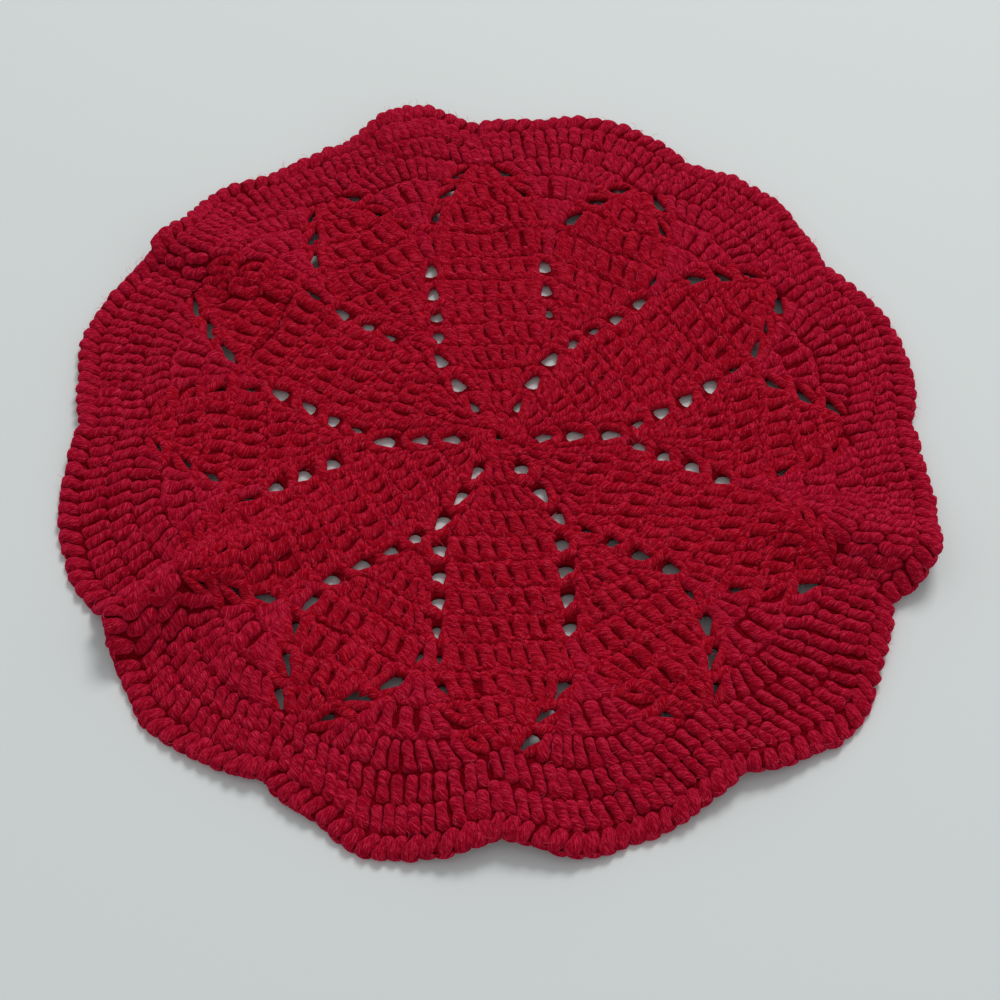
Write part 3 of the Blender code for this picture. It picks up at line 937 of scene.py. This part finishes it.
EDGE_STITCHES = 198
EDGE_POST = (
    Station(-0.02, 1.9, 1.0, 0.0, 0.0),
    Station(0.01, 1.8, 1.7, 3.2, 2.3),
    Station(0.16, 1.3, 2.4, 4.1, 3.2),
    Station(0.42, 0.3, 2.5, 4.6, 3.5),
    Station(0.64, -0.7, 2.2, 4.9, 3.3),
    Station(0.76, -1.3, 1.8, 4.9, 2.9),
    Station(0.83, -1.6, 1.5, 4.1, 2.4),
    Station(0.87, -1.7, 1.2, 2.7, 1.6),
    Station(0.885, -1.7, 0.9, 0.0, 0.0),
)
EDGE_YARN = Yarn(12, 12, 17, 20.0)
RIM_LOOP = (
    Station(0.78, -3.2, 0.8, 0.0, 0.0),
    Station(0.80, -2.6, 0.9, 1.3, 1.2),
    Station(0.87, -0.4, 1.2, 2.0, 1.8),
    Station(0.85, 1.8, 0.9, 1.5, 1.4),
    Station(0.80, 2.4, 0.8, 0.0, 0.0),
)
RIM_YARN = Yarn(6, 8, 5, 8.0)

edge_stitches = all_round(EDGE_ROUND, EDGE_STITCHES)
mesh = bmesh.new()
add_strands(mesh, EDGE_POST, edge_stitches, EDGE_YARN)
add_strands(mesh, RIM_LOOP, edge_stitches, RIM_YARN)
close_strands(mesh)
edge_piece = finish_piece("edge_round", mesh, pink_highlight_cotton)


# ---------------------------------------------------------------------------
# The chains between the eyelets: from the side of a petal to its neighbour two
# chain stitches cross the gap at the top of each round, plump and a bit arched.
# At either side of an eyelet a strand of the same yarn runs outwards over its rim.

CHAIN = (
    Station(1.0, -5.2, 1.4, 0.0, 0.0),
    Station(1.0, -4.6, 2.2, 3.2, 2.8),
    Station(1.0, -2.6, 2.4, 4.2, 3.6),
    Station(1.02, 0.0, 1.8, 3.8, 3.2),
    Station(1.0, 2.6, 2.4, 4.2, 3.6),
    Station(1.0, 4.6, 2.2, 3.2, 2.8),
    Station(1.0, 5.2, 1.4, 0.0, 0.0),
)
CHAIN_YARN = Yarn(10, 15, 8, 8.0)

# Round whose top a chain crosses, and millimetres from its petal's middle line.
ChainRow = namedtuple("ChainRow", "row across")
CORNER_CHAINS = (1.86, 2.86, 3.84)
LARGE_CHAINS = (
    ChainRow(5.0, 20.7),
    ChainRow(6.0, 20.9),
    ChainRow(7.0, 21.2),
    ChainRow(8.0, 21.2),
)
TIP_CHAINS = (ChainRow(9.05, 19.6), ChainRow(10.0, 15.9), ChainRow(10.95, 10.9))

# The strand beside an eyelet, in millimetres: forward along the eyelet from its
# middle, and aside from its rim.
BesideEyelet = namedtuple("BesideEyelet", "forward aside up width height")
BESIDE_EYELET = (
    BesideEyelet(-5.6, 1.2, 1.2, 0.0, 0.0),
    BesideEyelet(-4.8, 1.7, 1.8, 2.4, 2.4),
    BesideEyelet(-2.4, 2.3, 2.1, 3.1, 3.3),
    BesideEyelet(0.0, 1.9, 2.2, 3.4, 3.5),
    BesideEyelet(2.4, 1.1, 2.2, 3.2, 3.4),
    BesideEyelet(4.8, 0.3, 1.8, 2.4, 2.4),
    BesideEyelet(5.6, 0.1, 1.2, 0.0, 0.0),
)
BESIDE_YARN = Yarn(10, 12, 8, 7.5)
BESIDE_FULLER = 0.06        # how much fuller one of these strands is than another
DRAWN_OVER = 0.3 * MM       # how far the sides of a shut eyelet are drawn over it


def eyelet_chains():
    """The chains at the corners of the hexagon, then those beside the petals."""
    chains = [
        Stitch(row, petal + PETAL_STEP, 0.0, 0.0, 1.0, 1.0)
        for petal in LARGE_PETALS
        for row in CORNER_CHAINS
    ]
    for petals, rows in ((LARGE_PETALS, LARGE_CHAINS), (PETALS, TIP_CHAINS)):
        chains += [
            Stitch(row.row, petal, side * row.across, side * row.across, 1.0, 1.0)
            for petal in petals
            for row in rows
            for side in SIDES
        ]
    return chains


def beside_lines(side):
    """Middle lines, facings, widths and heights of the strands at one side of the eyelets."""
    forward, aside, up, width, height = through(BESIDE_EYELET, BESIDE_YARN.rings).T
    places = zip(*eyelet_places())
    x, y, degrees, wide, openness = (np.array(values)[:, None] for values in places)
    count = len(x)
    waver = by_hand(WAVER, count)
    out = side * (wide / 2.0 * openness + (aside + waver) * MM - DRAWN_OVER * (1.0 - openness))
    cos, sin = polar(degrees, 1.0)
    fuller = 1.0 + by_hand(BESIDE_FULLER, count)
    flat_x = x + forward * MM * cos - out * sin
    flat_y = y + forward * MM * sin + out * cos
    lines = laid(flat_x, flat_y, up * MM + np.zeros_like(flat_x))
    widths = np.maximum(width, 0.0) * fuller * MM
    return lines, facing(flat_x, flat_y), widths, np.maximum(height, 0.0) * fuller * MM


mesh = bmesh.new()
add_strands(mesh, CHAIN, eyelet_chains(), CHAIN_YARN)
for side in SIDES:
    roll_strands(mesh, *beside_lines(side), BESIDE_YARN)
close_strands(mesh)
chain_piece = finish_piece("eyelet_chains", mesh, yarn_cotton)


# ---------------------------------------------------------------------------
# Loose fibres: fine ends of the same cotton, a tenth of a millimetre thick, which
# have worked out of the yarn and stand off it, most of all round the edge.

FIBRES_ON_TOP = 800
FIBRES_ROUND_EDGE = 500
FIBRE_YARN = Yarn(3, 5, 1, 5.0)
FIBRE_PINK = (0.85, 0.07, 0.14, 1.0)
FIBRE_WIDTH = 0.11 * MM
FIBRE_TAPER = 0.3           # the lower, the longer a fibre keeps its full width
FIBRE_ENDS = (0.04, 0.96)   # part of a half wave that its width follows
FIBRE_LENGTH_MM = (1.2, 3.6)
FIBRE_RISE_MM = (0.2, 1.1)
RISE_TURN = 0.8             # share of its length after which it keeps its height
FIBRE_CURL = 70.0           # degrees, to either side
TOP_FIBRE_HEIGHT = 3.9 * MM         # where the fibres on top leave the yarn
EDGE_FIBRE_HEIGHT_MM = (0.8, 3.4)   # where those round the edge do, and in
EDGE_FIBRE_ROWS = (14.5, 14.85)     # what part of the edge round
EDGE_FIBRE_HEADING = 50.0           # degrees off straight outwards


def fibre_lines(row, degrees, heading, height):
    """Middle lines, facings, widths and heights of a fibre from each place."""
    count = len(row)
    along = np.linspace(0.0, 1.0, FIBRE_YARN.rings)
    length = draw.uniform(*FIBRE_LENGTH_MM, (count, 1)) * MM
    curl = np.radians(heading + draw.uniform(-FIBRE_CURL, FIBRE_CURL, (count, 1)) * along)
    start_x, start_y = polar(degrees, round_radius(row, degrees))
    flat_x = start_x + length * along * np.cos(curl)
    flat_y = start_y + length * along * np.sin(curl)
    arch = np.sin(np.pi * np.minimum(along, RISE_TURN))
    rise = draw.uniform(*FIBRE_RISE_MM, (count, 1)) * MM * arch
    lines = laid(flat_x, flat_y, height + rise)
    taper = np.sin(np.pi * mix(*FIBRE_ENDS, along)) ** FIBRE_TAPER
    widths = FIBRE_WIDTH * taper + np.zeros_like(length)
    return lines, facing(flat_x, flat_y), widths, widths


mesh = bmesh.new()
on_top = (FIBRES_ON_TOP, 1)
row = TALL_ROUNDS * np.sqrt(draw.uniform(0.0, 1.0, on_top))
degrees = draw.uniform(0.0, 360.0, on_top)
heading = draw.uniform(0.0, 360.0, on_top)
roll_strands(mesh, *fibre_lines(row, degrees, heading, TOP_FIBRE_HEIGHT), FIBRE_YARN)

round_edge = (FIBRES_ROUND_EDGE, 1)
degrees = draw.uniform(0.0, 360.0, round_edge)
row = draw.uniform(*EDGE_FIBRE_ROWS, round_edge)
heading = degrees + draw.uniform(-EDGE_FIBRE_HEADING, EDGE_FIBRE_HEADING, round_edge)
height = draw.uniform(*EDGE_FIBRE_HEIGHT_MM, round_edge) * MM
roll_strands(mesh, *fibre_lines(row, degrees, heading, height), FIBRE_YARN)
close_strands(mesh)

fibre_cotton = bpy.data.materials.new("fibre_cotton")
fibre_cotton.use_nodes = True
surface = fibre_cotton.node_tree.nodes["Principled BSDF"]
set_up(fibre_cotton, surface, Base_Color=FIBRE_PINK, Roughness=0.9, Specular_IOR_Level=0.1)
fibre_piece = finish_piece("loose_fibres", mesh, fibre_cotton)


# ---------------------------------------------------------------------------
# The table top: plain and pale, a cool grey white, much larger than the doily.

TABLE_SIZE = 6.0
TABLE_PAINT = (0.86, 0.89, 0.87, 1.0)

mesh = bmesh.new()
bmesh.ops.create_grid(mesh, x_segments=1, y_segments=1, size=TABLE_SIZE / 2.0)
data = bpy.data.meshes.new("table_top")
mesh.to_mesh(data)
mesh.free()
table = bpy.data.objects.new("table_top", data)
bpy.context.scene.collection.objects.link(table)
paint = bpy.data.materials.new("table_paint")
paint.use_nodes = True
set_up(paint, paint.node_tree.nodes["Principled BSDF"], Base_Color=TABLE_PAINT, Roughness=0.7)
data.materials.append(paint)


# ---------------------------------------------------------------------------
# Light and camera: an even, bright room, with a large soft window behind the doily
# and to its right.  The camera looks from the front, 57.5 degrees above the table.

ROOM_LIGHT = (0.93, 0.97, 1.0, 1.0)
ROOM_STRENGTH = 0.43
WINDOW_WATTS = 40.0
WINDOW_SIZE = 1.2           # metres across
WINDOW_PLACE = (0.72, 2.0, 2.3)
ELEVATION = math.radians(57.5)
AIM = (0.0007, -0.0240)     # x and y on the table, at the middle of the picture
DISTANCE = 0.6209           # metres from there
LENS_MM = 65.3
SENSOR_MM = 36.0

room = bpy.data.worlds.new("room")
bpy.context.scene.world = room
room.use_nodes = True
background = room.node_tree.nodes["Background"]
background.inputs["Color"].default_value = ROOM_LIGHT
background.inputs["Strength"].default_value = ROOM_STRENGTH

pane = bpy.data.lights.new("window", "AREA")
pane.energy = WINDOW_WATTS
pane.shape = "DISK"
pane.size = WINDOW_SIZE
window = bpy.data.objects.new("window", pane)
bpy.context.scene.collection.objects.link(window)
window.location = WINDOW_PLACE
right, back, up = WINDOW_PLACE
window.rotation_euler = (math.atan2(math.hypot(right, back), up), 0.0, math.atan2(right, -back))

lens = bpy.data.cameras.new("camera")
lens.lens = LENS_MM
lens.sensor_width = SENSOR_MM
camera = bpy.data.objects.new("camera", lens)
bpy.context.scene.collection.objects.link(camera)
camera.location = (AIM[0], AIM[1] - DISTANCE * math.cos(ELEVATION), DISTANCE * math.sin(ELEVATION))
camera.rotation_euler = (math.pi / 2.0 - ELEVATION, 0.0, 0.0)
bpy.context.scene.camera = camera
bpy.context.scene.view_settings.view_transform = "Standard"

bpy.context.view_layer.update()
